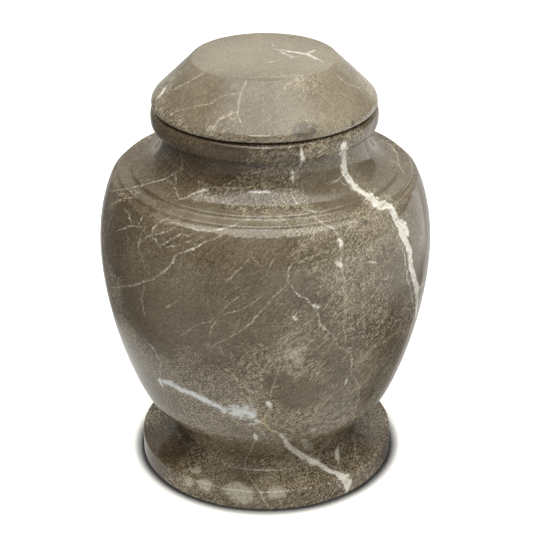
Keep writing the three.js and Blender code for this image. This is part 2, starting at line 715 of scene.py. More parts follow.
@dataclass(frozen=True)
class PolishedMarble:
    """Taupe marble with clouds, grain, streaks, hairlines, flecks, veins and patches, polished to a gloss; some
    patches also paint shade and light into its colour.

    tones holds the stone's colours from its darkest grain to its palest, with the tone that each stands at.
    Every step takes the material's bench and the place where the stone is read. drift is that place warped,
    and wild is how coarse the grain is there.
    """

    name: str
    tones: tuple[tuple[float, Colour], ...]
    # The umber tone is the stone's own, and the umber patches also lay it as painted shade.
    umber: Colour = linear(62, 47, 32)
    slate: Colour = linear(84, 79, 69)
    # This tone is partly paler stone and partly painted light and sheen.
    paler_and_painted_light: Colour = linear(150, 145, 131)
    pale: Colour = linear(182, 176, 160)
    white: Colour = linear(228, 225, 217)
    milk: Colour = linear(212, 214, 214)
    chalk: Colour = linear(176, 168, 150)
    fawn: Colour = linear(192, 181, 158)
    gold: Colour = linear(204, 182, 144)
    # How strongly the paler tone, partly painted light and sheen, is laid on and lifts the stone's tone.
    paler_and_painted_light_share: float = 0.3
    paler_and_painted_light_lift: float = 0.08
    roughness: float = 0.06
    roughness_spread: float = 0.05
    refraction: float = 1.52
    grain_share: float = 1.0
    bedding: tuple[float, float, float] = (0.0, math.radians(-42), math.radians(12))
    bedding_width: float = 1.5
    streak_length: float = 7.0

    def build(self) -> bpy.types.Material:
        """Makes the material.

        Returns:
            The material.
        """
        material = bpy.data.materials.new(self.name)
        bench = ShaderBench(material)
        place = bench.node("ShaderNodeTexCoord").outputs["Object"]
        drift = bench.shift(place, bench.noise(place, 24, 3), 0.02)
        wild = self.wildness(bench, drift)
        colour = self.colour(bench, self.tone(bench, place, drift, wild))
        # Lays the paler tone: partly paler stone, partly painted light and sheen.
        colour = bench.mix(bench.times(bench.amount(Patch.MIST), self.paler_and_painted_light_share), colour, self.paler_and_painted_light)
        colour = self.flecks(bench, drift, wild, colour)
        colour = self.hairlines(bench, place, wild, colour)
        colour = self.patches(bench, place, colour)
        colour = self.veins(bench, place, colour)
        shader = bench.node("ShaderNodeBsdfPrincipled")
        bench.feed(shader.inputs["Base Color"], colour)
        shader.inputs["IOR"].default_value = self.refraction
        dullest = self.roughness + self.roughness_spread
        polish = bench.ramp(bench.level(place, 260, 3), 0.3, 0.8, self.roughness, dullest)
        bench.feed(shader.inputs["Roughness"], polish)
        output = bench.node("ShaderNodeOutputMaterial")
        bench.feed(output.inputs["Surface"], shader.outputs[0])
        return material

    def wildness(self, bench: ShaderBench, place: Socket) -> Socket:
        """Returns how coarse the grain is, which is least where the stone is fine and even."""
        calm = bench.times(bench.amount(Patch.CALM), 0.6)
        return bench.ramp(bench.minus(bench.level(place, 18, 3), calm), 0.3, 0.56, 0.24, 0.9)

    def slanted(self, bench: ShaderBench, place: Socket, long: float) -> Socket:
        """Turns the stone to its bedding, stretches it along that and returns the new place."""
        node = bench.node("ShaderNodeMapping", vector_type="TEXTURE")
        bench.feed(node.inputs["Vector"], place)
        node.inputs["Rotation"].default_value = self.bedding
        node.inputs["Scale"].default_value = (long, self.bedding_width, 1.0)
        return node.outputs[0]

    def tone(self, bench: ShaderBench, place: Socket, drift: Socket, wild: Socket) -> Socket:
        """Adds the clouds, the streaks and the grain up to the stone's tone, about one half, and returns it."""
        clouds = bench.plus(0.5, bench.times(bench.swing(drift, 11, 4), 0.35))
        tone = bench.plus(clouds, bench.ramp(wild, 0.3, 0.9, -0.045, 0.03))
        # Lifts the tone where the stone is paler and where light and sheen are painted in.
        tone = bench.plus(tone, bench.times(bench.amount(Patch.MIST), self.paler_and_painted_light_lift))
        curls = bench.shift(place, bench.noise(place, 150, 2), 0.003)
        streaks = self.slanted(bench, drift, self.streak_length)
        grain = 0.0
        for where, scale, share in ((drift, 48, 0.3), (streaks, 230, 0.35), (curls, 620, 0.3)):
            speck = bench.swing(where, scale, 2, 0.6)
            grain = bench.plus(grain, bench.times(speck, share * self.grain_share))
        for long, scale, share in ((4.5, 2200, 0.5), (1.2, 2500, 0.42), (2.0, 1200, 0.1)):
            speck = self.granules(bench, self.slanted(bench, curls, long), scale)
            grain = bench.plus(grain, bench.times(speck, share * self.grain_share))
        return bench.plus(tone, bench.times(grain, wild))

    def granules(self, bench: ShaderBench, place: Socket, scale: float) -> Socket:
        """Gives every crystal its own tone, mostly middling with some light and a few dark, and returns it."""
        first, second, _ = bench.channels(bench.crystals(place, scale).outputs["Color"])
        light = bench.minus(bench.math("POWER", first, 3.0), 0.2)
        return bench.minus(light, bench.ramp(second, 0.86, 0.96, 0.0, 0.55))

    def colour(self, bench: ShaderBench, tone: Socket) -> Socket:
        """Turns a tone into the stone's colour and returns it."""
        node = bench.node("ShaderNodeValToRGB")
        bench.feed(node.inputs[0], tone)
        stops = node.color_ramp.elements
        while len(stops) < len(self.tones):
            stops.new(1.0)
        for stop, (position, colour) in zip(stops, self.tones):
            stop.position = position
            stop.color = colour
        return node.outputs["Color"]

    def flecks(self, bench: ShaderBench, place: Socket, wild: Socket, colour: Socket) -> Socket:
        """Scatters small pale shell flecks and dark pits and returns the colour."""
        size = 0.1
        for scale, rarity, tone in ((300, 0.93, self.pale), (420, 0.9, self.umber)):
            cell = bench.crystals(bench.shift(place, bench.noise(place, 900, 2), 0.002), scale)
            lot = bench.channels(cell.outputs["Color"])[0]
            chosen = bench.ramp(lot, rarity, rarity + 0.05)
            dot = bench.ramp(cell.outputs["Distance"], size, size + 0.3, 0.6, 0.0)
            colour = bench.mix(bench.times(bench.times(dot, chosen), wild), colour, tone)
        return colour

    def hairlines(self, bench: ShaderBench, place: Socket, wild: Socket, colour: Socket) -> Socket:
        """Draws broken nets of hairlines, coarse to fine, and returns the colour."""
        nets = (
            Net(19, 0.007, 0.022, 0.55, 0.5, self.fawn),
            Net(60, 0.014, 0.012, 0.5, 0.53, self.fawn),
            Net(47, 0.011, 0.014, 0.6, 0.55, self.umber),
            Net(190, 0.045, 0.005, 0.45, 0.53, self.fawn),
        )
        lace = bench.times(bench.amount(Patch.LACE), 0.2)
        for net in nets:
            drift = bench.shift(place, bench.noise(place, net.scale * 2.2, 4, 0.65), net.wander)
            cell = bench.crystals(drift, net.scale, "DISTANCE_TO_EDGE")
            line = bench.ramp(cell.outputs["Distance"], 0.0, net.thin, net.share, 0.0)
            gate = bench.plus(bench.level(place, net.scale * 1.7, 4, 0.6), lace)
            broken = bench.ramp(gate, net.gaps, net.gaps + 0.14)
            colour = bench.mix(bench.times(bench.times(line, broken), wild), colour, net.tone)
        return colour

    def patches(self, bench: ShaderBench, place: Socket, colour: Socket) -> Socket:
        """Lays the umber, slate, pale and milky patches, mottled and ragged, and returns the colour; the umber
        ones also paint shade under the collar and on the waist and the foot's top.
        """
        kinds = (
            # Umber: dark stone, and painted shade under the collar and on the foot's top.
            (Patch.UMBER_AND_PAINTED_SHADE, self.umber, 0.55),
            (Patch.SLATE, self.slate, 0.8),
            (Patch.PALE, self.pale, 0.82),
            (Patch.MILK, self.milk, 0.9),
        )
        ragged = bench.times(bench.swing(place, 300, 5, 0.8), 2.3)
        mottle = bench.ramp(bench.level(place, 560, 3, 0.7), 0.38, 0.58, 0.5, 1.0)
        for kind, tone, share in kinds:
            amount = bench.amount(kind)
            there = bench.times(bench.ramp(amount, 0.02, 0.2), mottle)
            cover = bench.ramp(bench.plus(amount, ragged), 0.2, 0.75, 0.0, share)
            colour = bench.mix(bench.times(cover, there), colour, tone)
        return colour

    def veins(self, bench: ShaderBench, place: Socket, colour: Socket) -> Socket:
        """Draws every layer of veins, each with a ragged core and a faint halo, and returns the colour."""
        sway = bench.swing(place, 170)
        jag = bench.swing(place, 600, 2, 0.7)
        wander = bench.plus(bench.times(sway, 1.7), bench.times(jag, 2.6))
        swell = bench.level(place, 300, 3, 0.6)
        crumble = bench.level(place, 620, 3, 0.7)
        faint = bench.ramp(bench.level(place, 190, 3, 0.7), 0.4, 0.6, 0.3, 0.95)
        faint = bench.times(bench.times(faint, bench.ramp(crumble, 0.38, 0.6, 0.45, 1.0)), 0.85)
        clear = bench.times(bench.ramp(crumble, 0.3, 0.5, 0.75, 1.0), bench.ramp(swell, 0.32, 0.5, 0.6, 1.0))
        white = bench.mix(bench.ramp(crumble, 0.3, 0.5), self.chalk, self.white)
        for index in range(StoneMap.LAYERS):
            away, half, tint = bench.layer(index)
            bold = bench.ramp(half, 0.6, 1.3)
            milky = bench.ramp(tint, Tint.MILK.value, Tint.WHITE.value, 1.0, 0.0)
            sideways = bench.times(bench.ramp(half, 0.4, 1.9, 1.0, 0.16), bench.ramp(milky, 0.0, 1.0, 1.0, 2.2))
            off = bench.math("ABSOLUTE", bench.plus(away, bench.times(wander, sideways)))
            narrowest = bench.ramp(bold, 0.0, 1.0, 0.45, 0.78)
            widest = bench.ramp(bold, 0.0, 1.0, 1.45, 1.2)
            width = bench.times(half, bench.ramp(bold, 0.0, 1.0, 0.8, 1.1))
            width = bench.times(width, bench.ramp(swell, 0.3, 0.7, narrowest, widest))
            gap = bench.minus(off, width)
            core = bench.ramp(gap, bench.ramp(bold, 0.0, 1.0, -0.25, -0.4), 0.25, 1.0, 0.0)
            reach = bench.ramp(milky, 0.0, 1.0, 1.3, 2.0)
            halo = bench.ramp(gap, 0.0, reach, bench.ramp(milky, 0.0, 1.0, 0.34, 0.5), 0.0)
            halo = bench.times(halo, bench.ramp(crumble, 0.4, 0.6, 0.3, 1.0))
            solid = bench.mix(bold, faint, clear)
            share = bench.greater(bench.times(core, solid), bench.times(halo, bold))
            rim = bench.ramp(gap, -0.9, 0.1, 0.0, 0.5)
            tone = bench.mix(rim, white, self.chalk)
            tone = bench.mix(bench.ramp(tint, Tint.WHITE.value, Tint.FAWN.value), tone, self.fawn)
            tone = bench.mix(bench.ramp(tint, Tint.FAWN.value, Tint.GOLD.value), tone, self.gold)
            tone = bench.mix(milky, tone, self.milk)
            colour = bench.mix(bench.times(share, bench.ramp(half, 0.02, 0.2)), colour, tone)
        return colour


def finish_piece(
    mesh: bmesh.types.BMesh, name: str, node: str, material: bpy.types.Material
) -> bpy.types.Object:
    """Makes a piece that stands for a node of the frame.

    Args:
        mesh: The piece's mesh, which is used up.
        name: The piece's name.
        node: The node that it replaces.
        material: The piece's finish.

    Returns:
        The piece.
    """
    data = bpy.data.meshes.new(name)
    mesh.to_mesh(data)
    mesh.free()
    data.shade_smooth()
    data.materials.append(material)
    piece = bpy.data.objects.new(name, data)
    bpy.context.scene.collection.objects.link(piece)
    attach(piece, BODY)
    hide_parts(node)
    return piece


@dataclass
class Vessel:
    """The hollow vessel: foot, waist, round belly, stepped shoulder, neck and collar, in millimetres."""

    foot_radius: float = 78.8
    foot_height: float = 12.8
    crease: Point = (58.0, 13.9)
    lip: Point = (57.4, 15.2)
    waist_leave: Point = (53.9, 24.2)
    low_belly: Point = (74.0, 44.0)
    low_slope: float = math.radians(46)
    waist_reach: float = 11.0
    low_reach: float = 9.0
    belly: Point = (99.7, 145.0)
    fullness_below: float = 46.0
    fullness_above: float = 20.0
    shoulder: Point = (90.4, 188.8)
    shoulder_slope: float = math.radians(58)
    shoulder_reach: float = 7.5
    riser_foot: Point = (87.3, 190.2)
    tread_edge: Point = (86.9, 192.2)
    ledge_foot: Point = (79.2, 192.5)
    ledge: Point = (78.8, 194.7)
    neck: Point = (60.3, 220.6)
    neck_flare: float = 1.1
    collar: Point = (66.8, 225.6)
    collar_lower_round: float = 1.2
    rim: Point = (64.4, 231.0)
    wall: float = 11.0
    mouth_radius: float = 42.0
    mouth_arris: float = 1.0
    throat_height: float = 190.0
    throat_leave: Point = (69.5, 184.5)
    chamber_fullness_above: float = 27.5
    chamber_fullness_below: float = 49.5
    heel_inset: float = 22.0
    floor: Point = (34.0, 32.0)

    def outside(self) -> HalfProfile:
        """Draws the outside, from the middle of the underside to the rim.

        Returns:
            The open profile.
        """
        profile = HalfProfile(HIDDEN_STEP).start(0.0, 0.0).line(self.foot_radius, 0.0)
        profile.step = SKIN_STEP
        profile.line(self.foot_radius, self.foot_height).line(*self.crease).line(*self.lip)
        widest, widest_height = self.belly
        radius, height = self.low_belly
        run, rise = math.cos(self.low_slope), math.sin(self.low_slope)
        meet = (radius - self.waist_reach * run, height - self.waist_reach * rise)
        profile.sweep(self.waist_leave, meet, self.low_belly)
        leave = (radius + self.low_reach * run, height + self.low_reach * rise)
        profile.sweep(leave, (widest, widest_height - self.fullness_below), self.belly)
        radius, height = self.shoulder
        run, rise = math.cos(self.shoulder_slope), math.sin(self.shoulder_slope)
        meet = (radius + self.shoulder_reach * run, height - self.shoulder_reach * rise)
        profile.sweep((widest, widest_height + self.fullness_above), meet, self.shoulder)
        profile.line(*self.riser_foot).line(*self.tread_edge).line(*self.ledge_foot).line(*self.ledge)
        neck_radius, neck_top = self.neck
        collar_radius = self.collar[0]
        profile.round((neck_radius, self.ledge[1] + self.neck_flare), self.neck)
        profile.line(collar_radius - self.collar_lower_round, neck_top)
        profile.round((collar_radius, neck_top), self.collar)
        profile.round((collar_radius, self.rim[1]), self.rim)
        return profile

    def hollow(self, profile: HalfProfile) -> HalfProfile:
        """Carries the profile on through the mouth and round the chamber to its floor.

        Args:
            profile: The outside.

        Returns:
            The whole profile.
        """
        profile.step = HIDDEN_STEP
        radius, rim_height = self.mouth_radius, self.rim[1]
        widest, widest_height = self.belly[0] - self.wall, self.belly[1]
        profile.line(radius + self.mouth_arris, rim_height)
        profile.line(radius, rim_height - self.mouth_arris)
        profile.line(radius, self.throat_height)
        meet = (widest, widest_height + self.chamber_fullness_above)
        profile.sweep(self.throat_leave, meet, (widest, widest_height))
        heel = (widest - self.heel_inset, self.floor[1])
        profile.sweep((widest, widest_height - self.chamber_fullness_below), heel, self.floor)
        return profile.line(0.0, self.floor[1])

    def build(self, material: bpy.types.Material) -> bpy.types.Object:
        """Turns the vessel and softens its edges.

        Args:
            material: The vessel's finish.

        Returns:
            The vessel.
        """
        mesh = self.hollow(self.outside()).turn()
        edges = (
            ((self.foot_radius, 0.0), 0.5),
            ((self.foot_radius, self.foot_height), 0.8),
            (self.crease, 0.9),
            (self.shoulder, 1.0),
            (self.tread_edge, 0.8),
            (self.ledge, 0.8),
            (self.neck, 0.6),
        )
        for corner, width in edges:
            soften(mesh, corner, width)
        return finish_piece(mesh, "marble_vessel", "urn_body", material)


@dataclass
class Lid:
    """The solid lid: a flat disc on a straight cone with a rounded lower edge, in millimetres."""

    radius: float = 66.0
    disc_radius: float = 42.1
    top: float = 260.0
    cone_foot: float = 236.4
    cone_round: float = 3.2
    bottom: float = 232.4
    lower_round: float = 1.5
    land_radius: float = 57.0
    rim_height: float = 231.0
    spigot_radius: float = 41.0
    spigot_foot: float = 219.0
    spigot_arris: float = 1.0

    def profile(self) -> HalfProfile:
        """Draws the lid, from the spigot's foot round to the middle of the top.

        Returns:
            The whole profile.
        """
        slope = math.atan2(self.top - self.cone_foot, self.radius - self.disc_radius)
        run, rise = math.cos(slope), math.sin(slope)
        profile = HalfProfile(HIDDEN_STEP).start(0.0, self.spigot_foot)
        profile.line(self.spigot_radius - self.spigot_arris, self.spigot_foot)
        profile.line(self.spigot_radius, self.spigot_foot + self.spigot_arris)
        profile.line(self.spigot_radius, self.rim_height)
        profile.line(self.land_radius, self.rim_height)
        profile.line(self.land_radius, self.bottom)
        profile.line(self.radius - self.lower_round, self.bottom)
        profile.step = 0.5 * SKIN_STEP
        profile.round((self.radius, self.bottom), (self.radius, self.bottom + self.lower_round))
        leave = (self.radius - self.cone_round * run, self.cone_foot + self.cone_round * rise)
        profile.round((self.radius, self.cone_foot), leave)
        profile.step = SKIN_STEP
        return profile.line(self.disc_radius, self.top).line(0.0, self.top)

    def build(self, material: bpy.types.Material) -> bpy.types.Object:
        """Turns the lid and softens its edges.

        Args:
            material: The lid's finish.

        Returns:
            The lid.
        """
        mesh = self.profile().turn()
        soften(mesh, (self.disc_radius, self.top), 0.6)
        return finish_piece(mesh, "marble_lid", "urn_lid", material)


def stroke(tint: Tint, name: str, width: float, *seen: Point, taper: float = 0.5) -> Vein:
    """Makes a vein that the photograph shows."""
    return Vein(name, width, seen=seen, tint=tint, taper=taper)


milk, white, fawn, gold = (partial(stroke, tint) for tint in (Tint.MILK, Tint.WHITE, Tint.FAWN, Tint.GOLD))


def spots(*rows: tuple[float, ...]) -> tuple[Blotch, ...]:
    """Makes patches that the photograph shows, from rows of x, y, size and, unless it is 1, strength."""
    return tuple(Blotch(*row[2:], seen=row[:2]) for row in rows)


def unseen_spots(*rows: tuple[float, ...]) -> tuple[Blotch, ...]:
    """Makes patches that it doesn't show, from rows of turn, height, size and, unless it is 1, strength."""
    return tuple(Blotch(*row[2:], laid=row[:2]) for row in rows)


VESSEL_VEINS = (
    white("great vein", 4.5,
        (344, 142), (343.5, 150), (344, 157), (343.5, 164), (344.5, 172), (351, 182.5), (360.6, 191.4),
        (370, 197), (376.6, 204.4), (388, 206), (392.5, 211), (398, 223), (401.5, 232.5), (407, 244),
        (410, 254), (410.6, 264.6), (413, 274), (415.7, 285), (417, 296), (416.3, 316), taper=0.1),
    white("great vein's head", 3.6, (344, 143), (344, 149), taper=0.3),
    white("great vein's inner strand", 1.0,
        (402.5, 238), (404.3, 250), (405.4, 261), (406.6, 275), (409.4, 288), (411.7, 299), (415, 311)),
    white("great vein's outer bulge", 4.6, (398, 221), (404, 225), (408.5, 236)),
    white("great vein's low bulge", 5.0, (415, 283), (418, 291), (417, 298)),
    white("great vein's low spur", 1.8, (417, 291), (420, 288), (425, 281)),
    white("great vein's neck spur", 1.1, (330, 182), (337, 181), (342, 176)),
    white("great vein's neck rim", 1.0, (340, 176), (342, 183), (350, 188), (362, 197), (372, 207)),
    milk("low vein's upper thread", 1.1, (143, 337), (152.4, 346.5), (161.3, 364), (159.5, 370), (160, 380)),
    milk("low vein", 3.4,
        (160, 380.7), (170, 383.7), (179.6, 389), (189, 392.5), (199.6, 397.3), (206.7, 400.8),
        (219.7, 407.3), (226, 412), taper=0.4),
    milk("low vein's hook", 2.8, (159, 378), (162.4, 387)),
    milk("low vein's broad middle", 2.6,
        (225, 412), (233, 413), (243, 412), (250, 413), (256, 421), taper=0.6),
    milk("low vein's rim", 1.4, (246, 424), (256, 423), (262, 421)),
    gold("golden thread", 1.7, (258, 423), (264, 422), (269.5, 429), (280, 434.4), taper=0.2),
    gold("golden fork", 1.2, (262, 421), (266, 414), (271, 409)),
    white("flake above the fork", 2.7, (267, 401), (269.5, 405), (272, 408), taper=0.7),
    fawn("thread above the flake", 0.8,
        (268.5, 400), (270, 393.7), (272, 388), (278, 374), (280, 363), (281, 352)),
    fawn("thread's side branch", 0.7, (272, 388), (282.4, 384), (290.7, 381)),
    white("flecks beside the thread", 1.2, (243, 386.6), (250, 391), (258.6, 397), taper=0.8),
    gold("brown thread", 0.9, (224, 369), (232, 372), (237, 381), (241, 389)),
    white("belly to foot", 3.7,
        (280, 434), (284.8, 438.5), (287.7, 445.6), (295.4, 451), (303.6, 456.8), (312, 461), (321.3, 465.6),
        (330.8, 471.5), (340.2, 474), (347.3, 480), (348.4, 485.7), (346.7, 493), taper=0.5),
    white("foot's broad end", 5.4, (336, 472), (343, 477), (348, 483), (347, 492), taper=0.6),
    fawn("foot's side thread", 1.2,
        (360, 388), (358, 396), (356, 408), (353, 419.6), (347.3, 427), (342.5, 437), (338, 444.4),
        (336.7, 454), (338.4, 463), (341.4, 471.5)),
    white("foot's side bead", 2.4, (338, 444), (336.7, 454), (338, 463), taper=0.9),
    fawn("far foot thread", 0.8, (354.3, 440), (355, 450), (356, 458)),
    fawn("far foot line", 0.8, (369.7, 417.3), (380, 420), (388.5, 421)),
    fawn("low left thread", 0.8,
        (172, 388), (178, 400), (184, 411), (191.4, 423), (192.5, 433), (197.8, 442), (201, 453)),
    fawn("left foot line", 0.8, (146, 418), (154, 418.5), (163, 422)),
    fawn("upright thread", 1.1,
        (254, 433), (256.8, 439.7), (253.3, 443.3), (251.5, 450.4), (246.2, 457.4), (244.5, 464.5),
        (246.2, 470.4), (251.5, 480), (255, 484.6), (261, 494), (264.5, 501), (269.2, 508)),
    fawn("upright thread's foot", 1.4, (259, 489), (264, 499), (269, 508), taper=0.8),
    white("upright thread's fleck", 2.2, (255, 433), (256.5, 440), taper=0.8),
    white("waist flecks", 1.6, (226, 439), (235, 440.5), taper=0.8),
    white("waist fleck, right", 2.0, (299, 441.5), (308, 438.5), taper=0.8),
    white("right chain", 1.05,
        (291.7, 190), (293, 198), (298.6, 204), (304.4, 209), (314.7, 212), (317, 219), (322, 223),
        (333, 228), (337.7, 236), (340.5, 242), (341, 250), (340.5, 262), (342.3, 271.5)),
    fawn("right chain, low", 0.85,
        (342.3, 271.5), (344.5, 279), (342.5, 288), (346, 296), (344, 306), (346.5, 315), (343, 326),
        (345.5, 337), (344, 347)),
    white("right chain's knot", 2.4, (336, 238), (341, 242), (342, 248), taper=0.9),
    white("right chain's star", 2.3, (333, 261), (340, 264.5), (343, 270), taper=0.95),
    white("star's upper ray", 1.1, (340, 264), (342, 258), (343, 254), taper=0.9),
    white("star's right ray", 1.2, (344, 262), (349, 258), taper=0.9),
    fawn("right chain's tail", 1.1,
        (335, 337), (338, 346), (343, 349), (349.6, 352.4), (352.6, 358), (351, 369), (352, 375), (357, 382),
        (360, 388)),
    fawn("tail's twig", 0.9, (360, 387), (365, 382)),
    white("neck bead", 2.0, (293, 170), (292.4, 182), taper=0.7),
    white("collar thread", 2.2, (301.5, 144), (301.8, 152), (302.7, 160), (299, 168), taper=0.7),
    white("left arc", 1.05,
        (324, 252.6), (311, 257), (301, 261), (293, 263.5), (287.7, 270.4), (288.3, 282), (297.5, 294.5),
        (306.7, 298), (312.4, 305), (319, 315), (319.5, 324), (329.6, 332.4), (335.4, 339)),
    white("left arc's star", 2.2, (311, 304), (316, 306.5), (321, 307), taper=0.9),
    white("small star", 1.9, (292, 315), (296, 319), (299, 320), taper=0.95),
    white("right dash", 1.6, (366, 262), (372, 262), (379, 263.5), taper=0.8),
    fawn("right dash, lower", 1.0, (383, 279), (389, 277), (394, 276.7)),
    fawn("small hook", 1.0, (351.4, 302), (354, 304.5), (359, 305)),
    fawn("right slanting thread", 0.9,
        (356.7, 364), (363.8, 357), (372, 349), (383.8, 341.8), (393, 335), (401, 329)),
    white("right slanting bead", 2.0, (382, 343), (386, 341), taper=0.9),
    fawn("low right thread", 0.9, (348, 376), (345, 385.4), (336.7, 392.5), (326, 401), (322, 407)),
    white("low right bead", 1.8, (347.5, 377), (344.6, 386), taper=0.9),
    fawn("slanting band, upper", 1.3,
        (290, 282), (278, 293), (268, 304), (258, 314), (250, 324), (236, 333.5), (216, 344)),
    fawn("slanting band, middle", 0.7, (265, 293), (253.4, 302.5), (238.5, 310.6), (221, 315)),
    fawn("slanting band, fine", 0.7, (253.4, 285), (243, 294), (232.8, 301.4), (222, 310), (215.6, 315)),
    fawn("slanting band, high", 0.8, (251, 257.7), (242, 266), (229, 279.6), (223.6, 282)),
    fawn("slanting band's hook", 0.8, (251, 250), (253.4, 259), (259, 265), (264, 268)),
    fawn("slanting band's pair", 0.8, (275, 258), (270, 267), (265, 272)),
    fawn("small fork", 0.9, (209.8, 333.5), (212, 326), (216.7, 320)),
    fawn("small fork's arm", 0.8, (181, 336), (192.6, 326.6), (201, 323), (209.8, 322), (215, 316)),
    white("left main thread", 1.05,
        (110, 287.6), (120.3, 287), (136.3, 284.7), (143.2, 281.8), (152.4, 279.6), (166.2, 269.2),
        (173, 262.3), (174.2, 256.6), (182.3, 252), (192.6, 249), (200.6, 245), (205.2, 241.7), (219, 237),
        (228, 231)),
    white("left bead", 1.5, (192, 249.5), (198, 246.5), (203, 243), taper=0.8),
    white("shoulder thread", 1.05,
        (163, 224), (175, 223), (186.8, 226.7), (198.3, 230), (209.8, 231), (221.3, 229), (232.8, 225.6),
        (240.8, 221), (250, 219)),
    white("left net, outer", 0.95, (144.4, 228), (141, 236), (138, 247.4), (142, 257.7), (145, 270.4)),
    white("left net, top", 0.95, (117, 231), (124, 228), (131.2, 225.6), (141, 226.7), (147, 226)),
    white("left net, drop", 0.95, (124.3, 209), (129, 214), (131.2, 224.4)),
    white("left net, arm", 0.95, (144.4, 238), (152.4, 235), (160.4, 233.6), (168.5, 230), (177.7, 226)),
    white("left net, rung", 0.95, (156, 224), (152, 230), (152.4, 237), (157.6, 243), (160.4, 247.4)),
    white("left net, low rung", 0.95,
        (158, 246), (164, 244), (170.8, 240.5), (180, 234), (189, 236), (192.6, 233)),
    white("left net, fan", 0.95, (137.5, 227), (140, 221), (144, 216)),
    white("left net, fringe", 0.95, (152.4, 230), (158, 223), (167, 218)),
    white("left net, inner", 0.95, (166, 247), (176, 246.5), (185, 242), (191, 241), (197, 245)),
    fawn("shoulder's edge thread", 1.1, (112.2, 204), (119, 200), (127, 198), (136, 197)),
    white("neck left thread", 1.05,
        (181, 152), (182.7, 160), (182.7, 169), (175, 173), (165.2, 178.7), (155.3, 181.5), (138.5, 186.5),
        (124, 189), (109, 191.4)),
    white("neck left branch", 0.85, (165.2, 178.7), (173.6, 185.7), (176.4, 191.4), (179, 198.4)),
    white("neck left stem", 0.85, (175, 174), (175.7, 181), (175.7, 188.6)),
    white("neck white thread", 1.6, (188, 195), (196, 193), (204.4, 190), (215, 187), taper=0.8),
    fawn("neck white thread's end", 0.8, (214, 187), (230, 188), (243, 187.5), (256.4, 187)),
    fawn("cove thread", 1.0, (176, 200), (184, 198.5), (192, 195)),
    fawn("cove's small fork", 0.9, (253, 184), (255, 192), (252, 199)),
    fawn("ledge twig", 1.0, (240, 207), (245, 209.5), (243, 216)),
    fawn("cove right thread", 0.9, (244, 178), (254, 173), (264, 171), (272, 168)),
    fawn("collar left twig", 0.9, (156.7, 132.4), (162.4, 139.4), (168, 143.7), (175, 147)),
    fawn("right shoulder thread", 1.2,
        (387, 142), (392, 147), (397, 153), (398, 160), (400, 168), (405, 174)),
    fawn("right shoulder stem", 0.9, (370, 145), (370, 155)),
    fawn("edge thread, left", 1.0, (112, 215), (108, 228), (107, 240)),
    fawn("left upright flecks", 1.3, (144, 290), (141, 298), (143.5, 308), (145, 315)),
    fawn("left dash", 1.0, (166, 307), (171, 305), (177, 301)),
    Vein("back vein, right side", 3.2, tint=Tint.WHITE, laid=(
        (84, 112), (90, 100), (101, 96), (112, 82), (118, 66), (131, 58), (137, 44), (146, 36),
    )),
    Vein("back vein, left side", 3.0, tint=Tint.WHITE, taper=0.3, laid=(
        (-66, 100), (-76, 112), (-84, 126), (-97, 131), (-110, 146), (-121, 160), (-138, 166), (-150, 178),
        (-156, 187),
    )),
    Vein("back vein, left twin", 1.2, tint=Tint.WHITE, laid=(
        (-97, 131), (-104, 118), (-116, 112), (-131, 98), (-140, 80), (-152, 72),
    )),
    Vein("back chain", 1.4, laid=(
        (168, 187), (163, 170), (166, 152), (158, 138), (161, 121), (150, 104), (153, 88), (146, 72),
        (150, 60),
    )),
    Vein("back chain's knot", 4.2, tint=Tint.WHITE, taper=0.9, laid=((160, 140), (156, 136), (153, 130))),
    Vein("back fork", 1.0, laid=((158, 138), (143, 146), (131, 143), (118, 156), (108, 160))),
    Vein("back low thread", 1.0, laid=((190, 98), (178, 90), (168, 92), (158, 80), (147, 84), (131, 76))),
    Vein("back high thread", 1.1, tint=Tint.WHITE, laid=(
        (-176, 176), (-168, 164), (-170, 152), (-160, 146), (-152, 150),
    )),
    Vein("back slanting thread", 1.0, laid=((-150, 60), (-160, 72), (-171, 78), (-183, 92), (-190, 100))),
    Vein("back twin thread", 0.9, laid=((-146, 70), (-158, 84), (-170, 90), (-180, 104))),
    Vein("side net", 1.0, tint=Tint.WHITE, laid=(
        (96, 178), (104, 168), (112, 166), (120, 154), (132, 152), (140, 160),
    )),
    Vein("side net's rung", 0.9, tint=Tint.WHITE, laid=((112, 166), (110, 154), (118, 146), (116, 134))),
    Vein("side thread, left", 1.0, laid=(
        (-80, 60), (-92, 70), (-98, 84), (-110, 90), (-120, 84), (-130, 62),
    )),
    Vein("side thread, right", 1.0, laid=((78, 168), (86, 156), (90, 140), (100, 132), (104, 118))),
    Vein("back waist thread", 1.2, tint=Tint.WHITE, laid=(
        (176, 50), (172, 36), (166, 24), (160, 14), (156, 6),
    )),
    Vein("back net", 0.9, laid=(
        (-128, 140), (-136, 128), (-148, 132), (-158, 120), (-168, 124), (-177, 112),
    )),
    Vein("back neck thread", 1.1, laid=((120, 216), (124, 208), (133, 204), (142, 199))),
    Vein("back foot thread", 1.6, tint=Tint.WHITE, laid=((-120, 9), (-114, 5), (-110, 1))),
)

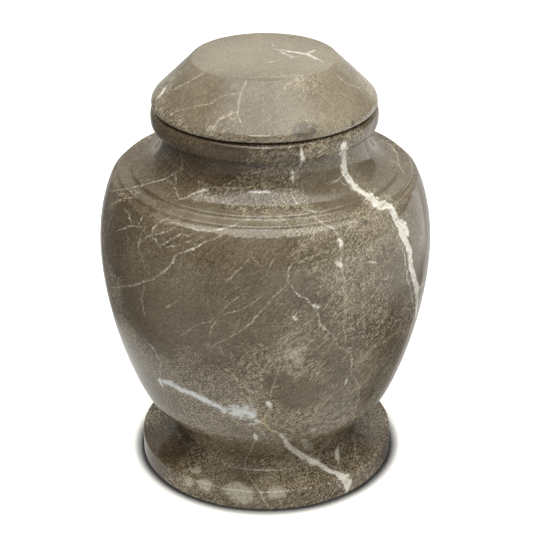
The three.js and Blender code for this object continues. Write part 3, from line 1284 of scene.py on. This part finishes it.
VESSEL_PATCHES = {
    Patch.PALE: spots(
        (236, 490, 13, 1.25), (243, 495, 11, 1.2), (277, 492, 9, 1.3), (204, 484, 8.5, 1.2),
        (188.5, 482, 6, 1.2), (197, 470.5, 6, 1.0), (240, 411, 20, 0.5), (184, 390, 10, 0.45),
        (200, 396, 10, 0.45), (293, 354, 9, 0.62), (305, 349, 5.5, 0.7), (301, 361, 6, 0.55),
        (312, 341, 3.5, 0.7), (314, 430, 4.5, 0.7), (239, 364, 4, 0.5), (342, 274, 12, 0.42),
        (365, 285, 7, 0.45), (397, 163, 9, 0.45), (262, 432, 4, 0.6), (214, 350, 12, 0.36),
    ) + unseen_spots((175, 140, 9, 0.7), (-170, 70, 7, 0.7), (165, 8, 8, 0.8), (-100, 10, 6, 0.8)),
    # Dark umber stone, and painted shade on the neck under the collar and on the waist and the foot's top.
    Patch.UMBER_AND_PAINTED_SHADE: spots(
        (244, 164, 46, 0.95), (198, 160, 36, 0.75), (168, 150, 26, 0.8), (262, 178, 26, 0.65),
        (280, 162, 22, 0.6), (165, 128, 20, 0.5), (200, 140, 20, 0.45), (368, 440, 38, 0.95),
        (387, 438, 26, 0.9), (340, 458, 34, 0.6), (290, 458, 30, 0.5), (160, 430, 30, 0.6),
        (128, 214, 34, 0.7), (239, 181, 13, 0.8), (225, 182, 9, 0.8), (276, 160, 14, 0.7),
        (300, 300, 20, 0.45), (170, 245, 26, 0.5), (212, 262, 22, 0.5), (278, 455, 14, 0.5),
        (188, 438, 12, 0.6),
    ) + unseen_spots((150, 170, 30, 0.5), (-140, 90, 26, 0.5)),
    Patch.CALM: spots(
        (190, 275, 60), (235, 255, 40), (150, 300, 45), (295, 395, 22), (335, 195, 26), (280, 385, 14),
        (165, 126, 30), (200, 146, 34), (375, 130, 24), (390, 165, 44, 0.8), (130, 170, 50), (120, 240, 40),
        (165, 190, 30),
    ) + unseen_spots((165, 100, 60), (-125, 110, 60), (95, 110, 50)),
    Patch.LACE: spots(
        (150, 215, 34), (175, 240, 26), (128, 215, 20), (300, 285, 34), (345, 300, 36), (225, 330, 26),
        (262, 175, 20), (285, 160, 16),
    ) + unseen_spots((120, 150, 60), (-165, 120, 50), (-110, 170, 40)),
    # Paler stone, and painted light and sheen: a bright band on the shoulder's treads, and the neck's and
    # belly's right side.
    Patch.MIST: spots(
        (265, 236, 44, 0.6), (207, 342, 46, 0.5), (236, 432, 46, 0.6), (252, 496, 24, 0.6),
        (226, 474, 24, 0.55), (165, 320, 60, 0.45), (111, 188, 24, 0.5), (306, 181, 20, 0.6),
        (390, 160, 30, 0.5), (350, 180, 36, 0.8), (392, 186, 34, 0.6), (322, 166, 24, 0.7),
        (175, 214, 18, 0.8), (205, 218, 22, 0.95), (240, 220, 26, 0.95), (275, 222, 28, 1.0),
        (310, 222, 32, 1.0), (345, 225, 40, 0.9), (385, 215, 40, 0.9), (350, 250, 60, 0.7),
        (395, 255, 50, 0.5), (300, 270, 60, 0.4), (278, 348, 40, 0.5), (225, 392, 50, 0.5),
        (150, 370, 46, 0.6), (345, 395, 50, 0.45),
    ) + unseen_spots((-150, 165, 60, 0.5), (140, 70, 70, 0.5)),
    Patch.MILK: spots(
        (230, 409, 7, 0.7), (238, 412, 11, 0.95), (247, 409, 8, 0.75), (252, 415, 6, 0.8),
        (257, 421, 4.5, 0.8), (172, 384, 5, 0.6), (180, 389, 6, 0.7), (192, 393, 5, 0.6),
        (206, 401, 5.5, 0.7),
    ),
}

LID_VEINS = (
    white("disc's long line", 2.1, (274.5, 49), (296, 52.3), (307, 54), (323, 62), taper=0.3),
    white("disc's second line", 1.7, (275.8, 49.8), (284, 53), (292.4, 57.4), (301.3, 56)),
    white("disc's spur", 1.9, (306, 54.5), (310, 52), (315.4, 49.8)),
    white("disc's tick", 0.7, (272, 41.5), (273, 46)),
    white("disc's dash", 1.5, (263, 62.7), (270, 61.8), (276.5, 61), taper=0.8),
    fawn("disc's left dash", 1.3, (211.5, 70.7), (221, 69.4), (230, 67.9)),
    fawn("disc's front line", 0.9, (232, 76), (250, 77.5), (268, 77), (284, 77)),
    fawn("disc's right crumble", 0.8, (298.8, 77.2), (304, 78), (310.3, 81)),
    fawn("disc's back line", 0.5, (240, 50), (254, 49), (272, 49.5)),
    white("left flake", 3.2, (156, 99), (161, 94.5), (165, 88), (167.3, 86), taper=0.8),
    white("left slanting line", 1.2, (170.8, 90.3), (178, 87), (186.2, 83.3), (195, 78), (203, 73.5)),
    white("low left fleck", 2.2, (170, 116), (173, 112), taper=0.9),
    fawn("front curve", 1.0,
        (176.4, 111.4), (186, 108), (196, 106.5), (210, 103.7), (218.5, 98), (229.7, 93.8), (237, 93)),
    fawn("upright line", 1.5, (246.5, 81), (242.3, 89), (239.5, 98.8), (238, 113)),
    fawn("upright line's root", 1.5, (238, 112), (227, 115.6), (218.5, 119.8), (213, 128.2)),
    fawn("upright line's fork", 0.8, (238, 112), (240.5, 121), (244, 128)),
    fawn("upright line's nest", 1.3, (232, 111), (229, 117), (234, 120), (238, 116)),
    white("right line", 1.3, (338, 76), (343.4, 81), (347, 84), (360, 88)),
    fawn("hook beside the disc", 0.8, (291, 83), (286, 85), (284, 91)),
    fawn("far right line", 0.9, (366, 86), (369, 91), (372, 98)),
    fawn("low right dash", 0.8, (341, 93), (347, 97)),
    fawn("slate's rim", 0.45, (296, 131), (299, 124), (304, 119), (309, 122), (314, 127), (320, 132)),
    Vein("lid's back vein", 1.6, tint=Tint.WHITE, laid=((120, 236), (128, 243), (141, 249), (150, 256))),
    Vein("lid's back thread", 0.9, laid=((-160, 236), (-150, 244), (-152, 252), (-140, 258))),
)

LID_PATCHES = {
    Patch.PALE: spots((210, 129.6, 6, 0.5)),
    Patch.UMBER_AND_PAINTED_SHADE: spots((269.5, 101, 2, 0.8)),
    Patch.SLATE: spots((303, 131, 10, 1.3), (310, 129, 8, 1.2), (353, 123.8, 3.5)),
    Patch.CALM: spots(
        (250, 55, 60), (300, 58, 40), (220, 80, 40), (262, 100, 32), (195, 82, 30), (325, 108, 60, 0.2),
    ),
    Patch.LACE: spots((330, 100, 44), (298, 96, 30)),
    # Paler stone, and painted light and sheen on the top disc and the cone's right.
    Patch.MIST: spots((240, 56, 60, 0.9), (295, 58, 50, 0.8), (325, 113, 44, 0.7)),
}


@dataclass
class Studio:
    """A plain pale floor and soft studio light, in metres.

    The fields that end in floor, and the card's, are the tones that the urn sees; height is the urn's own.
    """

    height: float
    floor_side: float = 12.0
    white_floor: float = 1.35
    near_left_floor: float = 0.7
    near_right_floor: float = 0.2
    front_left_floor: float = 0.42
    front_right_floor: float = 0.75
    left_floor: float = 0.14
    right_floor: float = 0.95
    card_left: float = 0.34
    card_right: float = 0.5
    card_half: float = 0.09
    spread_left: float = 0.5
    spread_right: float = 0.84
    # How far the painted contact shadow round the foot reaches.
    painted_shadow_reach: float = 0.011
    dome: float = 3.2
    hood: float = 3.6
    hood_aim: tuple[float, float, float] = (0.0, -0.42, 0.91)
    air: Colour = (1.0, 0.985, 0.93, 1.0)
    eye_air: Colour = (1.0, 1.0, 1.0, 1.0)
    backdrop_left: float = 0.4
    backdrop_right: float = 0.7
    surroundings: float = 0.22
    key_place: tuple[float, float, float] = (-0.13, -1.24, 1.15)
    key_size: tuple[float, float] = (0.5, 0.2)
    key_watts: float = 3.0

    def lay_floor(self) -> None:
        """Lays the floor, which is a stage piece."""
        mesh = bmesh.new()
        bmesh.ops.create_grid(mesh, x_segments=1, y_segments=1, size=self.floor_side / 2)
        data = bpy.data.meshes.new("floor")
        mesh.to_mesh(data)
        mesh.free()
        data.materials.append(self.floor_finish())
        floor = bpy.data.objects.new("floor", data)
        bpy.context.scene.collection.objects.link(floor)

    def floor_finish(self) -> bpy.types.Material:
        """Makes the floor's finish: white to the eye, with a painted contact shadow darkening it round the
        foot, and to the urn a grey floor with a pale card behind it.

        Returns:
            The material.
        """
        material = bpy.data.materials.new("pale floor")
        bench = ShaderBench(material)
        # The painted contact shadow: the floor's colour for the eye darkens near the foot.
        painted_contact_shadow = bench.node("ShaderNodeAmbientOcclusion", samples=8)
        painted_contact_shadow.inputs["Distance"].default_value = self.painted_shadow_reach
        white = bench.node("ShaderNodeBsdfDiffuse")
        bench.feed(white.inputs["Color"], bench.ramp(painted_contact_shadow.outputs["AO"], 0.58, 0.97, 0.02, self.white_floor))
        place = bench.node("ShaderNodeTexCoord").outputs["Object"]
        x, y, _ = bench.parts(place)
        side = bench.math("ABSOLUTE", x)
        spread = bench.ramp(x, -0.01, 0.01, self.spread_left, self.spread_right)
        reach = bench.plus(bench.times(y, spread), self.card_half)
        card = bench.ramp(bench.minus(reach, side), -0.01, 0.01)
        behind = bench.times(card, bench.ramp(y, 0.0, 0.02))
        grey = bench.node("ShaderNodeBsdfDiffuse")
        distance = bench.node("ShaderNodeVectorMath", operation="LENGTH")
        bench.feed(distance.inputs[0], place)
        facing = bench.math("DIVIDE", bench.times(y, -1.0), distance.outputs["Value"])
        side_tone = bench.ramp(x, 0.2, 0.42, self.left_floor, self.right_floor)
        front_tone = bench.ramp(x, -0.1, 0.2, self.front_left_floor, self.front_right_floor)
        floor_tone = bench.ramp(facing, 0.2, 0.75, side_tone, front_tone)
        card_tone = bench.ramp(x, -0.3, 0.3, self.card_left, self.card_right)
        beside = bench.ramp(x, -0.03, 0.05, self.near_left_floor, self.near_right_floor)
        near_tone = bench.ramp(distance.outputs["Value"], 0.13, 0.26, beside, 0.0)
        far_tone = bench.mix(behind, floor_tone, card_tone)
        bench.feed(grey.inputs["Color"], bench.greater(near_tone, far_tone))
        choice = bench.node("ShaderNodeMixShader")
        bench.feed(choice.inputs[0], bench.node("ShaderNodeLightPath").outputs["Is Camera Ray"])
        bench.feed(choice.inputs[1], grey.outputs[0])
        bench.feed(choice.inputs[2], white.outputs[0])
        output = bench.node("ShaderNodeOutputMaterial")
        bench.feed(output.inputs["Surface"], choice.outputs[0])
        return material

    def hang_panel(self, name: str, place: Vector, size: tuple[float, float], power: float) -> None:
        """Hangs a soft light that faces the urn.

        Args:
            name: The light's name.
            place: Where it hangs.
            size: Its width and height.
            power: Its power in watts.
        """
        data = bpy.data.lights.new(name, "AREA")
        data.shape = "RECTANGLE"
        data.size, data.size_y = size
        data.energy = power
        lamp = bpy.data.objects.new(name, data)
        aim = Vector((0.0, 0.0, self.height / 2)) - place
        lamp.rotation_euler = aim.to_track_quat("-Z", "Y").to_euler()
        lamp.location = place
        lamp.visible_camera = False
        bpy.context.scene.collection.objects.link(lamp)

    def fill_air(self) -> None:
        """Lights the surroundings: white to the eye, and to the urn bright above and behind and else dim."""
        world = bpy.data.worlds.new("studio")
        bpy.context.scene.world = world
        bench = ShaderBench(world)
        heading = bench.node("ShaderNodeTexCoord").outputs["Generated"]
        x, back, up = bench.parts(heading)
        just_over_one = 1.0001
        level = bench.math("SQRT", bench.minus(just_over_one, bench.times(up, up)))
        facing = bench.math("DIVIDE", back, level)
        behind = bench.times(bench.ramp(facing, 0.74, 0.8), bench.ramp(up, 0.7, 0.6))
        overhead = bench.ramp(up, 0.74, 0.92, self.surroundings, self.dome)
        aim = bench.node("ShaderNodeVectorMath", operation="DOT_PRODUCT")
        bench.feed(aim.inputs[0], heading)
        aim.inputs[1].default_value = self.hood_aim
        hood = bench.ramp(aim.outputs["Value"], 0.75, 0.98, 0.0, self.hood)
        backdrop = bench.ramp(x, -0.4, 0.1, self.backdrop_left, self.backdrop_right)
        glow = bench.greater(overhead, bench.times(behind, backdrop))
        glow = bench.greater(glow, hood)
        eye = bench.node("ShaderNodeLightPath").outputs["Is Camera Ray"]
        light = bench.node("ShaderNodeBackground")
        bench.feed(light.inputs["Color"], bench.mix(eye, self.air, self.eye_air))
        bench.feed(light.inputs["Strength"], bench.greater(eye, glow))
        output = bench.node("ShaderNodeOutputWorld")
        bench.feed(output.inputs["Surface"], light.outputs[0])

    def build(self) -> None:
        """Sets the whole studio up."""
        self.lay_floor()
        self.fill_air()
        self.hang_panel("key", Vector(self.key_place), self.key_size, self.key_watts)
        bpy.context.scene.view_settings.view_transform = "Standard"


def main() -> None:
    """Builds the urn and its studio in order."""
    logging.basicConfig(level=logging.INFO, format="%(message)s")
    camera = Camera(CAMERA_PLACE, CAMERA_PITCH, CAMERA_ROLL, FOCAL_PIXELS)
    camera.build()
    body_marble = PolishedMarble("polished body marble", tones=(
        (0.26, linear(50, 39, 26)),
        (0.42, linear(78, 65, 48)),
        (0.5, linear(99, 86, 67)),
        (0.6, linear(128, 116, 95)),
        (0.8, linear(176, 165, 143)),
    ))
    vessel = Vessel().build(body_marble.build())
    StoneMap(vessel, camera).write(VESSEL_VEINS, VESSEL_PATCHES)
    log.info("vessel: %d faces", len(vessel.data.polygons))
    # The lid's tones are lighter than the body's: partly its own stone, partly painted light from above.
    lid_marble_with_painted_top_light = PolishedMarble("polished lid marble, paler with painted top light", grain_share=0.7, tones=(
        (0.26, linear(68, 58, 45)),
        (0.42, linear(111, 100, 83)),
        (0.5, linear(135, 124, 105)),
        (0.6, linear(156, 146, 126)),
        (0.8, linear(194, 186, 168)),
    ))
    lid = Lid().build(lid_marble_with_painted_top_light.build())
    StoneMap(lid, camera).write(LID_VEINS, LID_PATCHES)
    log.info("lid: %d faces", len(lid.data.polygons))
    low, high = cad_bounds
    Studio(high[2] - low[2]).build()


if __name__ == "__main__":
    main()
